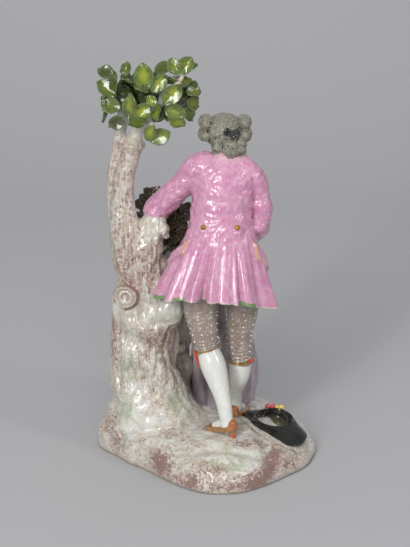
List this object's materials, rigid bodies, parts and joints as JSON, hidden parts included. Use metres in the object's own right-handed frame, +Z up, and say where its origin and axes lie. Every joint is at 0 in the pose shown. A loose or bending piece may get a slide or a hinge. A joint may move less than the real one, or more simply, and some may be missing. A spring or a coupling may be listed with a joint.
{
  "type": "porcelain figure group",
  "caption": "Porcelain group of a standing gentleman who leans on a leafy tree stump over a seated lady, on a rocky mound.",
  "frame": {"origin": "centre of the bounding box on the flat underside of the mound", "axes": "+Z up; the gentleman's back faces -Y, and +X is to the right of someone who looks at his back"},
  "size_m": [0.124, 0.1316, 0.2223],
  "materials": {
    "glazed_porcelain": "glossy clear glaze over enamel colours"
  },
  "bodies": {
    "root": {"figure_group": "glazed_porcelain"}
  },
  "joints": []
}
